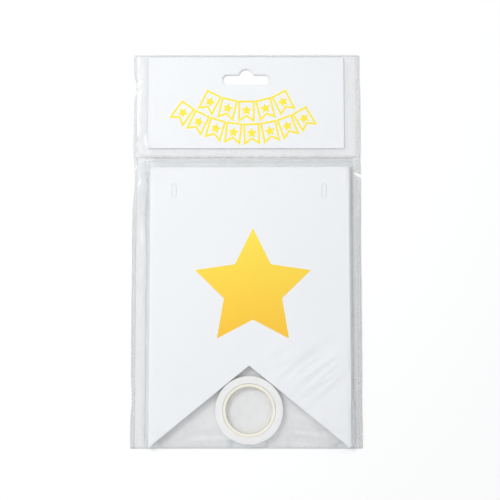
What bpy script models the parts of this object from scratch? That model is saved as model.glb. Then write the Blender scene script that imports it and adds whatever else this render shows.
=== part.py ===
"""Hanging pack of swallowtail card pennants with a roll of ribbon, for stringing up as bunting.

The pack lies face up on its back film: +Z is its thickness, +Y runs towards the header and +X is to
its right. The origin is on the floor under the middle of the bag. Every size is in metres.
"""

import math

import bmesh
import bpy
import numpy as np
from mathutils import Matrix

MM = 0.001

# Pennants, which are die-cut card
PENNANT_COUNT = 13
PENNANT_WIDTH = 128.5 * MM
PENNANT_LENGTH = 180 * MM
NOTCH_DEPTH = 52.1 * MM  # from the two tips up to the notch's apex
CARD_THICKNESS = 0.32 * MM
CARD_AIR = 0.06 * MM  # between one card of the stack and the next
STRAY = 1.4 * MM  # how far to the right of the top card another may lie
TWIST = math.radians(0.2)  # how far a card is turned in the stack
STRAY_STEP = 2.1  # phase from one card to the next, in radians, for the stray and for the twist
TWIST_STEP = 1.3
TRAVEL = 2.6 * MM  # how far a card can slide up before it meets the mouth

# Slots near a pennant's top corners, which the ribbon is threaded through
THREAD_SLOT_WIDTH = 3.2 * MM
THREAD_SLOT_HEIGHT = 9 * MM
THREAD_SLOT_INSET = 15.4 * MM  # slot's centre line from the card's side
THREAD_SLOT_DROP = 14.6 * MM  # slot's centre from the card's top edge
THREAD_SLOT_STEPS = 8  # sides of the half circle at each end of a slot

# Ribbon, wound on a card core
RIBBON_WIDTH = 5 * MM
ROLL_RADIUS = 21.8 * MM
CORE_RADIUS = 16.9 * MM
CORE_WALL = 1.8 * MM
CORE_CLEARANCE = 0.15 * MM
ROLL_CLEARANCE = 0.35 * MM  # from the winding to the notch's edges
ROLL_STEPS = 72

# Clear film
FILM = 0.2 * MM
FILM_GAP = 0.06 * MM  # between a film and whatever lies on it
FOIL_ROOM = 0.02 * MM  # for the gold foil on the top card
SEAL_WIDTH = 3 * MM  # fused strip down each side of the bag
WELD_WIDTH = 1.2 * MM  # fused line under the header card and along the top
WELD_CLEARANCE = 0.3 * MM
SEAL_THICKNESS = 0.1 * MM
SLACK_LEFT = 9.45 * MM  # from the side seals to the nominal card stack
SLACK_RIGHT = 6.05 * MM
SHOULDER = 0.3 * MM  # flat film beyond the widest card before it slopes down to a seal
FOLD_LIP = 0.3 * MM
FOLD_RUN = 0.2 * MM  # how far the front film leans at the bottom fold
TIP_CLEARANCE = 0.6 * MM
MOUTH_SPARE = 0.3 * MM
MOUTH_SLOPE = 3.75 * MM
SLIT_LENGTH = 4.8 * MM  # tear slit in the right-hand seal
SLIT_WIDTH = 1.2 * MM
SLIT_DROP = 13.2 * MM  # from the header weld
SLIT_TILT = math.radians(-28)

# Header
HEADER_CARD_WIDTH = 129 * MM
HEADER_CARD_HEIGHT = 61 * MM
HEADER_CARD_SHIFT = -0.4 * MM  # the card lies a little left of the bag's middle
HEADER_CARD_PLAY = 5.9 * MM  # the least room that the card needs on each side of it
HEADER_SLACK_BELOW = 4.75 * MM
HEADER_SLACK_ABOVE = 0.5 * MM
HANG_SLOT_LENGTH = 31 * MM
HANG_SLOT_BAR = 6.5 * MM
HANG_SLOT_BUMP = 4.8 * MM  # radius of the round notch that centres a peg
HANG_SLOT_SINK = 0.95 * MM  # the notch's centre is this far below the bar's upper edge
HANG_SLOT_DROP = 16.9 * MM  # bar's centre line from the top of the bag
HANG_SLOT_END_STEPS = 12
HANG_SLOT_BUMP_STEPS = 16

# Closing flap behind the mouth, with its strip of glue
FLAP_LENGTH = 38 * MM
FLAP_INSET = 2.5 * MM  # from the side seals
FLAP_CORNER = 4 * MM
FLAP_CORNER_STEPS = 6
CREASE_GAP = 0.3 * MM  # from the header weld to the crease
MOUTH_LAP = 1 * MM  # the pocket's back edge stops this far below the crease
GLUE_THICKNESS = 0.1 * MM
GLUE_WIDTH = 7 * MM
GLUE_INSET = 3 * MM  # from the flap's edges
JOGGLE = 3 * MM  # length of the step in the back film where it rises over the flap
JOGGLE_CLEARANCE = 2 * MM

MERGE = 0.001 * MM  # points closer than this are one

# Plan of the bag
EDGE_SLOPE = NOTCH_DEPTH / (PENNANT_WIDTH / 2)
ROLL_DROP = (ROLL_RADIUS + ROLL_CLEARANCE) * math.hypot(1, EDGE_SLOPE)  # apex to roll centre
BELOW_APEX = max(NOTCH_DEPTH, ROLL_DROP + ROLL_RADIUS)
RISE = STRAY * EDGE_SLOPE  # a card that strays sideways rides up on the roll
SIDE_SPREAD = STRAY + (PENNANT_LENGTH - NOTCH_DEPTH + ROLL_DROP) * math.sin(TWIST)
TOP_SPREAD = RISE + PENNANT_WIDTH / 2 * math.sin(TWIST)
POCKET_WIDTH = SLACK_LEFT + PENNANT_WIDTH + SLACK_RIGHT
SLEEVE_WIDTH = HEADER_CARD_WIDTH + 2 * (HEADER_CARD_PLAY - HEADER_CARD_SHIFT)
BAG_WIDTH = 2 * SEAL_WIDTH + max(POCKET_WIDTH, SLEEVE_WIDTH)
POCKET_LENGTH = FOLD_LIP + FOLD_RUN + TIP_CLEARANCE + BELOW_APEX + PENNANT_LENGTH - NOTCH_DEPTH
MOUTH_LENGTH = TOP_SPREAD + TRAVEL + MOUTH_SPARE + MOUTH_SLOPE
HEADER_LENGTH = 2 * WELD_WIDTH + HEADER_SLACK_BELOW + HEADER_CARD_HEIGHT + HEADER_SLACK_ABOVE
BAG_LENGTH = POCKET_LENGTH + MOUTH_LENGTH + HEADER_LENGTH
SEAL_X = BAG_WIDTH / 2 - SEAL_WIDTH  # inner edge of a side seal
STACK_X = (SLACK_LEFT - SLACK_RIGHT) / 2
PLATEAU = PENNANT_WIDTH / 2 + SIDE_SPREAD + SHOULDER  # half of the front film's raised flat
PLATEAU_LEFT = STACK_X - PLATEAU
PLATEAU_RIGHT = STACK_X + PLATEAU
FOLD_Y = -BAG_LENGTH / 2
TOP_Y = BAG_LENGTH / 2
STACK_TOP_Y = FOLD_Y + POCKET_LENGTH
APEX_Y = STACK_TOP_Y - (PENNANT_LENGTH - NOTCH_DEPTH)
ROLL_Y = APEX_Y - ROLL_DROP
WELD_Y = STACK_TOP_Y + MOUTH_LENGTH  # lower edge of the header weld
CREASE_Y = WELD_Y - CREASE_GAP
MOUTH_Y = CREASE_Y - MOUTH_LAP
FLAP_END_Y = CREASE_Y - FLAP_LENGTH
HANG_SLOT_Y = TOP_Y - HANG_SLOT_DROP
HEADER_CARD_Y = WELD_Y + WELD_WIDTH + HEADER_SLACK_BELOW + HEADER_CARD_HEIGHT / 2

# Levels, from the floor up
GLUE_Z = FILM + FILM_GAP
RAISED_BACK_Z = GLUE_Z + GLUE_THICKNESS + FILM_GAP
HEADER_BACK_Z = 2 * FILM + FILM_GAP  # the opened flap folds flat underneath
HEADER_CARD_Z = HEADER_BACK_Z + FILM + FILM_GAP
HEADER_FRONT_Z = HEADER_CARD_Z + CARD_THICKNESS + FILM_GAP
RIM_RISE = FILM + 2 * FILM_GAP + SEAL_THICKNESS  # back film to front film at a side seal
STACK_Z = RAISED_BACK_Z + FILM + FILM_GAP
STACK_TOP_Z = STACK_Z + PENNANT_COUNT * (CARD_THICKNESS + CARD_AIR) - CARD_AIR
ROLL_Z = FILM + FILM_GAP
POCKET_FRONT_Z = max(STACK_TOP_Z, ROLL_Z + RIBBON_WIDTH) + FILM_GAP + FOIL_ROOM
CUT_DEPTH = 4 * POCKET_FRONT_Z

# Bends of the films along Y, as (y, height of the underside)
BACK_BENDS = [
    (FOLD_Y, 0),
    (FLAP_END_Y - JOGGLE_CLEARANCE - JOGGLE, 0),
    (FLAP_END_Y - JOGGLE_CLEARANCE, RAISED_BACK_Z),
    (MOUTH_Y, RAISED_BACK_Z),
]
RIM_BENDS = [(y, z + RIM_RISE) for y, z in BACK_BENDS] + [
    (WELD_Y, HEADER_FRONT_Z),
    (TOP_Y, HEADER_FRONT_Z),
]
SEAL_FLOOR_BENDS = [(y, z + FILM + FILM_GAP) for y, z in BACK_BENDS] + [
    (WELD_Y, HEADER_CARD_Z),
    (TOP_Y, HEADER_CARD_Z),
]


def empty_scene():
    for obj in list(bpy.data.objects):
        bpy.data.objects.remove(obj, do_unlink=True)


def new_collection(name):
    collection = bpy.data.collections.new(name)
    bpy.context.scene.collection.children.link(collection)
    return collection


def new_material(name, colour, roughness, alpha=1.0):
    material = bpy.data.materials.new(name)
    material.use_nodes = True
    shader = material.node_tree.nodes["Principled BSDF"]
    shader.inputs["Base Color"].default_value = (*colour, 1)
    shader.inputs["Roughness"].default_value = roughness
    shader.inputs["Metallic"].default_value = 0
    shader.inputs["Alpha"].default_value = alpha
    return material


def add_object(name, data, material, location=(0, 0, 0), rotation=(0, 0, 0)):
    obj = bpy.data.objects.new(name, data)
    obj.location = location
    obj.rotation_euler = rotation
    if material and not data.materials:
        data.materials.append(material)
    pack.objects.link(obj)
    return obj


def arc(centre, radius, start, end, steps):
    """Points along an arc, ends included; the angles are in degrees."""
    angles = np.radians(np.linspace(start, end, steps + 1))
    return [(centre[0] + radius * math.cos(a), centre[1] + radius * math.sin(a)) for a in angles]


def rectangle(width, height, centre=(0, 0)):
    corners = ((-1, -1), (1, -1), (1, 1), (-1, 1))
    return [(centre[0] + x * width / 2, centre[1] + y * height / 2) for x, y in corners]


def hang_slot_outline(centre=(0, 0)):
    """Bar with round ends and a round bump on its top edge."""
    x, y = centre
    end = HANG_SLOT_BAR / 2
    reach = HANG_SLOT_LENGTH / 2 - end
    outline = arc((x - reach, y), end, 90, 270, HANG_SLOT_END_STEPS)
    outline += arc((x + reach, y), end, -90, 90, HANG_SLOT_END_STEPS)
    lift = math.degrees(math.asin(HANG_SLOT_SINK / HANG_SLOT_BUMP))
    outline += arc(
        (x, y + end - HANG_SLOT_SINK), HANG_SLOT_BUMP, lift, 180 - lift, HANG_SLOT_BUMP_STEPS
    )
    return outline


def flat_curve(name, outlines, thickness):
    """Closed outlines filled as one flat slab around z = 0; inner outlines are holes."""
    curve = bpy.data.curves.new(name, "CURVE")
    curve.dimensions = "2D"
    curve.fill_mode = "BOTH"
    curve.extrude = thickness / 2
    for outline in outlines:
        spline = curve.splines.new("POLY")
        spline.points.add(len(outline) - 1)
        for point, (x, y) in zip(spline.points, outline):
            point.co = (x, y, 0, 1)
        spline.use_cyclic_u = True
    return curve


def as_mesh(obj):
    """Replaces a curve object by the closed mesh that it makes, in the same place, as a cutter needs."""
    bpy.context.view_layer.update()
    evaluated = obj.evaluated_get(bpy.context.evaluated_depsgraph_get())
    mesh = bpy.data.meshes.new_from_object(evaluated)
    shape = bmesh.new()
    shape.from_mesh(mesh)
    bmesh.ops.remove_doubles(shape, verts=shape.verts, dist=MERGE)
    shape.to_mesh(mesh)
    shape.free()
    name = obj.name
    placed = bpy.data.objects.new(name + "_mesh", mesh)
    placed.matrix_world = obj.matrix_world.copy()
    for collection in obj.users_collection:
        collection.objects.link(placed)
    bpy.data.objects.remove(obj, do_unlink=True)
    placed.name = name
    return placed


def as_cutter(obj):
    obj.hide_render = True
    obj.display_type = "WIRE"
    for collection in list(obj.users_collection):
        collection.objects.unlink(obj)
    cutters.objects.link(obj)
    return obj


def cut(obj, cutter):
    boolean = obj.modifiers.new("Cut " + cutter.name, "BOOLEAN")
    boolean.operation = "DIFFERENCE"
    boolean.solver = "EXACT"
    boolean.object = cutter


def slab(name, width, length, centre, underside, thickness, material):
    """Flat strip whose underside is at the given height."""
    shape = bmesh.new()
    bmesh.ops.create_cube(shape, size=1, matrix=Matrix.Diagonal((width, length, thickness, 1)))
    mesh = bpy.data.meshes.new(name)
    shape.to_mesh(mesh)
    shape.free()
    return add_object(name, mesh, material, (*centre, underside + thickness / 2))


def draped_film(name, columns, rows, underside):
    """Sheet of film over a grid of fold lines, thickened upwards from its underside."""
    shape = bmesh.new()
    across, along = len(columns) - 1, len(rows) - 1
    bmesh.ops.create_grid(shape, x_segments=across, y_segments=along, size=1)
    for vertex in shape.verts:
        x = columns[round((vertex.co.x + 1) / 2 * across)]
        y = rows[round((vertex.co.y + 1) / 2 * along)]
        vertex.co = (x, y, underside(x, y))
    mesh = bpy.data.meshes.new(name)
    shape.to_mesh(mesh)
    shape.free()
    obj = add_object(name, mesh, film)
    solidify = obj.modifiers.new("Film thickness", "SOLIDIFY")
    solidify.thickness = FILM
    solidify.offset = 1
    solidify.use_even_offset = True
    return obj


def bend_height(bends, y):
    return float(np.interp(y, [point[0] for point in bends], [point[1] for point in bends]))


def turned_ring(name, outer, inner, height, material, location):
    """Ring turned about its own z axis, standing on its location."""
    section = [(outer, height), (outer, 0), (inner, 0), (inner, height)]
    mesh = bpy.data.meshes.new(name)
    shape = bmesh.new()
    corners = [shape.verts.new((x, 0, z)) for x, z in section]
    for a, b in zip(corners, corners[1:] + corners[:1]):
        shape.edges.new((a, b))
    shape.to_mesh(mesh)
    shape.free()
    obj = add_object(name, mesh, material, location)
    screw = obj.modifiers.new("Turn", "SCREW")
    screw.steps = ROLL_STEPS
    screw.render_steps = ROLL_STEPS
    screw.use_merge_vertices = True
    screw.merge_threshold = MERGE
    screw.use_smooth_shade = False
    return obj


# Pennants


def pennant_outline():
    """Swallowtail card with its notch's apex at (0, 0) and its tips down."""
    half = PENNANT_WIDTH / 2
    top = PENNANT_LENGTH - NOTCH_DEPTH
    return [(0, 0), (half, -NOTCH_DEPTH), (half, top), (-half, top), (-half, -NOTCH_DEPTH)]


def thread_slot_outline(side):
    """Upright slot with round ends near one top corner; side is -1 or 1."""
    x = side * (PENNANT_WIDTH / 2 - THREAD_SLOT_INSET)
    y = PENNANT_LENGTH - NOTCH_DEPTH - THREAD_SLOT_DROP
    end = THREAD_SLOT_WIDTH / 2
    reach = THREAD_SLOT_HEIGHT / 2 - end
    outline = arc((x, y + reach), end, 0, 180, THREAD_SLOT_STEPS)
    return outline + arc((x, y - reach), end, 180, 360, THREAD_SLOT_STEPS)


def stack_place(index):
    """Where a card of the stack lies: (sideways, upwards, turn). The top card lies true."""
    below_top = PENNANT_COUNT - 1 - index
    sideways = STRAY * (1 - math.cos(STRAY_STEP * below_top)) / 2
    turn = TWIST * math.sin(TWIST_STEP * below_top)
    return sideways, sideways * EDGE_SLOPE, turn


def make_pennants():
    """The stack, bottom card first. Each card turns about the roll, which keeps its notch clear."""
    outlines = [pennant_outline(), thread_slot_outline(-1), thread_slot_outline(1)]
    card = flat_curve("pennant", outlines, CARD_THICKNESS)
    for index in range(PENNANT_COUNT):
        sideways, upwards, turn = stack_place(index)
        x = STACK_X + sideways - ROLL_DROP * math.sin(turn)
        y = ROLL_Y + upwards + ROLL_DROP * math.cos(turn)
        z = STACK_Z + index * (CARD_THICKNESS + CARD_AIR) + CARD_THICKNESS / 2
        add_object(f"pennant_{index + 1:02d}", card, board, (x, y, z), (0, 0, turn))


# Ribbon roll


def make_ribbon_roll():
    place = (STACK_X, ROLL_Y, ROLL_Z)
    core_inner = CORE_RADIUS - CORE_WALL
    turned_ring("ribbon_core", CORE_RADIUS, core_inner, RIBBON_WIDTH, core_card, place)
    bore = CORE_RADIUS + CORE_CLEARANCE
    turned_ring("ribbon_winding", ROLL_RADIUS, bore, RIBBON_WIDTH, ribbon, place)


# Bag


def front_film_height(x, y):
    """Underside of the front film: flat over the header, raised over the pocket's contents."""
    rim = bend_height(RIM_BENDS, y)
    from_left = (x + SEAL_X) / (PLATEAU_LEFT + SEAL_X)
    from_right = (SEAL_X - x) / (SEAL_X - PLATEAU_RIGHT)
    from_fold = (y - FOLD_Y - FOLD_LIP) / FOLD_RUN
    from_weld = (WELD_Y - y) / MOUTH_SLOPE
    share = min(max(min(from_left, from_right, from_fold, from_weld), 0), 1)
    return rim + share * (POCKET_FRONT_Z - rim)


def make_front_film(slot_cutter, slit_cutter):
    columns = [-BAG_WIDTH / 2, -SEAL_X, PLATEAU_LEFT, PLATEAU_RIGHT, SEAL_X, BAG_WIDTH / 2]
    fold_rows = [FOLD_Y, FOLD_Y + FOLD_LIP, FOLD_Y + FOLD_LIP + FOLD_RUN]
    joggle_rows = [BACK_BENDS[1][0], BACK_BENDS[2][0]]
    mouth_rows = [WELD_Y - MOUTH_SLOPE, MOUTH_Y, WELD_Y]
    rows = fold_rows + joggle_rows + mouth_rows + [TOP_Y]
    obj = draped_film("front_film", columns, rows, front_film_height)
    cut(obj, slot_cutter)
    cut(obj, slit_cutter)


def make_pocket_back_film(slit_cutter):
    columns = [-BAG_WIDTH / 2, BAG_WIDTH / 2]
    rows = [y for y, _ in BACK_BENDS]
    obj = draped_film("pocket_back_film", columns, rows, lambda x, y: bend_height(BACK_BENDS, y))
    cut(obj, slit_cutter)


def make_header_back_film():
    length = TOP_Y - CREASE_Y
    centre = (0, CREASE_Y + length / 2)
    slot = hang_slot_outline((HEADER_CARD_SHIFT, HANG_SLOT_Y))
    outlines = [rectangle(BAG_WIDTH, length, centre), slot]
    curve = flat_curve("header_back_film", outlines, FILM)
    add_object("header_back_film", curve, film, (0, 0, HEADER_BACK_Z + FILM / 2))


def make_side_seal(name, side, low, high):
    """Fused strip that fills the space between the films along one side, from low to high in y."""
    x = side * (BAG_WIDTH / 2 - SEAL_WIDTH / 2)
    bends = sorted({low, high} | {y for y, _ in SEAL_FLOOR_BENDS if low < y < high})
    outline = [(y, bend_height(SEAL_FLOOR_BENDS, y)) for y in bends]
    outline += [(y, bend_height(RIM_BENDS, y) - FILM_GAP) for y in reversed(bends)]
    curve = flat_curve(name, [outline], SEAL_WIDTH)
    add_object(name, curve, fused, (x, 0, 0), (math.pi / 2, 0, math.pi / 2))


def make_side_seals():
    """The left seal is whole; the right one stops on both sides of the tear slit."""
    slit_y = WELD_Y - SLIT_DROP + SEAL_WIDTH / 2 * math.tan(-SLIT_TILT)
    half_break = SEAL_WIDTH / 2 * math.tan(-SLIT_TILT) + SLIT_WIDTH
    make_side_seal("left_side_seal", -1, FOLD_Y, TOP_Y)
    make_side_seal("right_lower_seal", 1, FOLD_Y, slit_y - half_break)
    make_side_seal("right_upper_seal", 1, slit_y + half_break, TOP_Y)


def make_welds():
    width = 2 * (SEAL_X - WELD_CLEARANCE)
    for name, y in (("header_weld", WELD_Y), ("top_weld", TOP_Y - WELD_WIDTH)):
        centre = (0, y + WELD_WIDTH / 2)
        slab(name, width, WELD_WIDTH, centre, HEADER_CARD_Z, CARD_THICKNESS, fused)


def make_header_card():
    centre = (HEADER_CARD_SHIFT, HEADER_CARD_Y)
    slot = hang_slot_outline((0, HANG_SLOT_Y - HEADER_CARD_Y))
    outlines = [rectangle(HEADER_CARD_WIDTH, HEADER_CARD_HEIGHT), slot]
    curve = flat_curve("header_card", outlines, CARD_THICKNESS)
    add_object("header_card", curve, board, (*centre, HEADER_CARD_Z + CARD_THICKNESS / 2))


def make_closure_flap():
    """Flap and its strip of glue, hung from an empty on the crease that the flap swings about."""
    crease = add_object("crease", None, None, (0, CREASE_Y, FILM))
    half = SEAL_X - FLAP_INSET
    low = FLAP_CORNER - FLAP_LENGTH
    outline = [(half, 0), (-half, 0)]
    outline += arc((FLAP_CORNER - half, low), FLAP_CORNER, 180, 270, FLAP_CORNER_STEPS)
    outline += arc((half - FLAP_CORNER, low), FLAP_CORNER, 270, 360, FLAP_CORNER_STEPS)
    curve = flat_curve("closure_flap", [outline], FILM)
    add_object("closure_flap", curve, film, (0, 0, -FILM / 2)).parent = crease
    width = 2 * (half - GLUE_INSET)
    centre = (0, GLUE_INSET + GLUE_WIDTH / 2 - FLAP_LENGTH)
    glue = slab("glue_strip", width, GLUE_WIDTH, centre, GLUE_Z - FILM, GLUE_THICKNESS, adhesive)
    glue.parent = crease


def slot_cutter_object():
    outline = hang_slot_outline((HEADER_CARD_SHIFT, HANG_SLOT_Y))
    curve = flat_curve("hang_slot_cutter", [outline], CUT_DEPTH)
    return as_cutter(as_mesh(add_object("hang_slot_cutter", curve, None)))


def slit_cutter_object():
    """Box that cuts the tear slit in from the bag's right-hand edge, where its middle lies."""
    centre = (BAG_WIDTH / 2, WELD_Y - SLIT_DROP)
    length = 2 * SLIT_LENGTH
    obj = slab("tear_slit_cutter", length, SLIT_WIDTH, centre, -CUT_DEPTH / 2, CUT_DEPTH, None)
    obj.rotation_euler.z = SLIT_TILT
    return as_cutter(obj)


empty_scene()
pack = new_collection("pennant_hanging_pack")
cutters = new_collection("cutters")
film = new_material("clear film", (0.93, 0.94, 0.95), 0.12, 0.25)
fused = new_material("fused film", (0.85, 0.87, 0.88), 0.35, 0.6)
board = new_material("white board", (0.88, 0.89, 0.90), 0.6)
ribbon = new_material("white ribbon", (0.90, 0.90, 0.92), 0.3)
core_card = new_material("cream core board", (0.86, 0.80, 0.62), 0.8)
adhesive = new_material("clear glue", (0.80, 0.80, 0.76), 0.3, 0.5)

hang_slot_cutter = slot_cutter_object()
tear_slit_cutter = slit_cutter_object()
make_pocket_back_film(tear_slit_cutter)
make_header_back_film()
make_closure_flap()
make_front_film(hang_slot_cutter, tear_slit_cutter)
make_side_seals()
make_welds()
make_header_card()
make_pennants()
make_ribbon_roll()
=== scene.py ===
import math

import bmesh
import bpy
import numpy as np
from mathutils import Matrix, Vector, noise
from mathutils.bvhtree import BVHTree
from mathutils.geometry import delaunay_2d_cdt


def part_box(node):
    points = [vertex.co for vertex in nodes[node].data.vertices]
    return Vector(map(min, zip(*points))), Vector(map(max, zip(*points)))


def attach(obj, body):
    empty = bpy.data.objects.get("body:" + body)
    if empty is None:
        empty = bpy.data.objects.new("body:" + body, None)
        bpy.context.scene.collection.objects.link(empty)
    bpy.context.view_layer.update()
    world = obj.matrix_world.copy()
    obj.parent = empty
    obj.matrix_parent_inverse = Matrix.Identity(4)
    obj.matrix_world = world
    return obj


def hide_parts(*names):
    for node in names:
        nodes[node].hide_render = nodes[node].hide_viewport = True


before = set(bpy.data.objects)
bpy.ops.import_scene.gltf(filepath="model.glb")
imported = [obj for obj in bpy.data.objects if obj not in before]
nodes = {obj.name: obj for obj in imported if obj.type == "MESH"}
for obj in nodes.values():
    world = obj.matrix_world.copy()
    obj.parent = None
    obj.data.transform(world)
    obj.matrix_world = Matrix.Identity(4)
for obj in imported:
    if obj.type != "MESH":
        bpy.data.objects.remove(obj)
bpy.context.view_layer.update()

mm = 0.001
up = Vector((0, 0, 1))
pennants = sorted(name for name in nodes if name.startswith("pennant_"))

# Places, all taken from the frame
bagLow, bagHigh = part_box("front_film")
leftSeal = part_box("left_side_seal")
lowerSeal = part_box("right_lower_seal")
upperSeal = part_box("right_upper_seal")
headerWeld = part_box("header_weld")
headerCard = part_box("header_card")
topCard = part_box(pennants[-1])
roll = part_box("ribbon_winding")
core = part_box("ribbon_core")
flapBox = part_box("closure_flap")
filmWall = flapBox[1].z - flapBox[0].z  # a film's thickness in the frame
sealEdge = leftSeal[1].x  # inner edge of the left seal
sealWidth = leftSeal[1].x - leftSeal[0].x
cardMiddle = (headerCard[0] + headerCard[1]) / 2
rollMiddle = (roll[0] + roll[1]) / 2
stackMiddle = (topCard[0] + topCard[1]) / 2


# Shader helpers

def newMaterial(name):
    material = bpy.data.materials.new(name)
    material.use_nodes = True
    tree = material.node_tree
    return material, tree, tree.nodes["Principled BSDF"]


def feed(tree, sockets, values):
    # each value is an output to link from, or a plain setting
    for socket, value in zip(sockets, values):
        if isinstance(value, bpy.types.NodeSocket):
            tree.links.new(value, socket)
        elif value is not None:
            socket.default_value = value


def place(tree, kind, **values):
    # a node with its options, and its inputs set or linked
    node = tree.nodes.new(kind)
    for key, value in values.items():
        if hasattr(node, key):
            setattr(node, key, value)
        else:
            feed(tree, [node.inputs[key.replace("_", " ")]], [value])
    return node


def newGroup(name, inputs, outputs):
    group = bpy.data.node_groups.new(name, "ShaderNodeTree")
    for label, value in inputs.items():
        kind = "NodeSocketColor" if isinstance(value, tuple) else "NodeSocketFloat"
        socket = group.interface.new_socket(label, in_out="INPUT", socket_type=kind)
        socket.default_value = value
    for label, kind in outputs.items():
        group.interface.new_socket(label, in_out="OUTPUT", socket_type=kind)
    return group, group.nodes.new("NodeGroupInput").outputs, group.nodes.new("NodeGroupOutput").inputs


def useGroup(tree, group, **values):
    node = tree.nodes.new("ShaderNodeGroup")
    node.node_tree = group
    feed(tree, [node.inputs[key] for key in values], values.values())
    return node.outputs


def mathNode(tree, operation, a, b=None, clamp=False):
    node = place(tree, "ShaderNodeMath", operation=operation, use_clamp=clamp)
    feed(tree, node.inputs, (a, b))
    return node.outputs[0]


def vectorNode(tree, operation, a, b=None):
    node = place(tree, "ShaderNodeVectorMath", operation=operation)
    feed(tree, node.inputs, (a, b))
    return node.outputs["Value" if operation == "LENGTH" else "Vector"]


def joined(tree, x=None, y=None, z=None):
    node = place(tree, "ShaderNodeCombineXYZ")
    feed(tree, node.inputs, (x, y, z))
    return node.outputs[0]


def parted(tree, vector):
    node = tree.nodes.new("ShaderNodeSeparateXYZ")
    feed(tree, node.inputs, [vector])
    return node.outputs


def objectSpace(tree):
    return place(tree, "ShaderNodeTexCoord").outputs["Object"]


def mixColours(tree, share, first, second, way="MIX"):
    node = place(tree, "ShaderNodeMix", data_type="RGBA", blend_type=way)
    feed(tree, (node.inputs[0], node.inputs[6], node.inputs[7]), (share, first, second))
    return node.outputs[2]


def bump(tree, shader, height, depth, strength):
    node = place(tree, "ShaderNodeBump", Height=height, Distance=depth, Strength=strength)
    tree.links.new(node.outputs["Normal"], shader.inputs["Normal"])


# Effects that several materials share

def makeGrainGroup():
    # paper fibres: short streaks at two angles, with a slow mottle under them
    group, given, result = newGroup(
        "fibreGrain",
        {"Scale": 900.0, "Strength": 0.04, "Light": (1.0, 1.0, 1.0, 1.0), "Dark": (0.8, 0.8, 0.8, 1.0)},
        {"Colour": "NodeSocketColor", "Height": "NodeSocketFloat"},
    )
    where = objectSpace(group)
    streaks = []
    for turn, stretch in ((0.4, 3.5), (-0.9, 2.8)):
        mapping = place(group, "ShaderNodeMapping", Vector=where, Rotation=(0, 0, turn), Scale=(1, stretch, 1))
        fibres = place(group, "ShaderNodeTexNoise", Vector=mapping.outputs[0], Scale=given["Scale"],
                       Detail=5.0, Roughness=0.65)
        streaks.append(fibres.outputs["Fac"])
    mottle = place(group, "ShaderNodeTexNoise", Vector=where, Scale=38.0, Detail=3.0)
    height = mathNode(group, "MULTIPLY", mathNode(group, "ADD", *streaks), 0.5)
    tone = mathNode(group, "ADD", height, mottle.outputs["Fac"])
    share = mathNode(group, "MULTIPLY", tone, given["Strength"], clamp=True)
    feed(group, result, (mixColours(group, share, given["Light"], given["Dark"]), height))
    return group


def makeCreaseGroup():
    # fine creases of handled film: sharp lines where a folded noise turns over, plus a soft haze
    group, given, result = newGroup(
        "filmCreases",
        {"Scale": 60.0, "Stretch": 1.0, "Sharpness": 6.0},
        {"Line": "NodeSocketFloat", "Haze": "NodeSocketFloat", "Height": "NodeSocketFloat"},
    )
    where = vectorNode(group, "MULTIPLY", objectSpace(group), joined(group, 1.0, given["Stretch"], 1.0))
    folded = place(group, "ShaderNodeTexNoise", Vector=where, Scale=given["Scale"],
                   Detail=3.0, Roughness=0.55, Distortion=0.5)
    finer = mathNode(group, "MULTIPLY", given["Scale"], 4.0)
    cloudy = place(group, "ShaderNodeTexNoise", Vector=where, Scale=finer, Detail=6.0, Roughness=0.7)
    haze = cloudy.outputs["Fac"]
    fold = mathNode(group, "ABSOLUTE", mathNode(group, "SUBTRACT", folded.outputs["Fac"], 0.5))
    near = mathNode(group, "MULTIPLY", fold, given["Sharpness"])
    line = mathNode(group, "SUBTRACT", 1.0, near, clamp=True)
    feed(group, result, (line, haze, mathNode(group, "ADD", line, haze)))
    return group


def makeRubGroup():
    # rubbed patches and specks, which dull a shine
    group, given, result = newGroup("rubMarks", {"Scale": 120.0, "Amount": 0.3}, {"Mask": "NodeSocketFloat"})
    where = objectSpace(group)
    patches = place(group, "ShaderNodeTexNoise", Vector=where, Scale=given["Scale"], Detail=4.0, Roughness=0.6)
    finer = mathNode(group, "MULTIPLY", given["Scale"], 7.0)
    specks = place(group, "ShaderNodeTexVoronoi", feature="F1", Vector=where, Scale=finer)
    spot = mathNode(group, "LESS_THAN", specks.outputs["Distance"], 0.12)
    worn = mathNode(group, "ADD", patches.outputs["Fac"], mathNode(group, "MULTIPLY", spot, 0.5))
    feed(group, result, [mathNode(group, "MULTIPLY", worn, given["Amount"], clamp=True)])
    return group


fibreGrain = makeGrainGroup()
filmCreases = makeCreaseGroup()
rubMarks = makeRubGroup()
print("shared effects: fibre grain, film creases, rub marks")


# Materials

def finishLook(tree, shader, colour, roughness, rub, height, relief):
    # colour, a roughness with rubbed marks (scale, amount), and a relief (depth, strength)
    marks = useGroup(tree, rubMarks, Scale=rub[0], Amount=rub[1])
    feed(tree, (shader.inputs["Base Color"], shader.inputs["Roughness"]),
         (colour, mathNode(tree, "ADD", marks["Mask"], roughness)))
    bump(tree, shader, height, *relief)


board = {
    "light": (0.885, 0.894, 0.910, 1),
    "dark": (0.79, 0.799, 0.815, 1),
    "edge": (0.66, 0.66, 0.66, 1),  # the sideways faces, the cut edges, are coloured a darker grey
    "grainScale": 900.0,
    "grain": 0.12,
    "roughness": 0.52,
}


def makeBoard():
    material, tree, shader = newMaterial("whiteBoard")
    grain = useGroup(tree, fibreGrain, Scale=board["grainScale"], Strength=board["grain"],
                     Light=board["light"], Dark=board["dark"])
    facing = parted(tree, place(tree, "ShaderNodeNewGeometry").outputs["True Normal"])
    edge = mathNode(tree, "LESS_THAN", mathNode(tree, "ABSOLUTE", facing["Z"]), 0.5)
    colour = mixColours(tree, edge, grain["Colour"], board["edge"])
    finishLook(tree, shader, colour, board["roughness"], (70.0, 0.2), grain["Height"], (0.02 * mm, 0.6))
    return material


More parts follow.
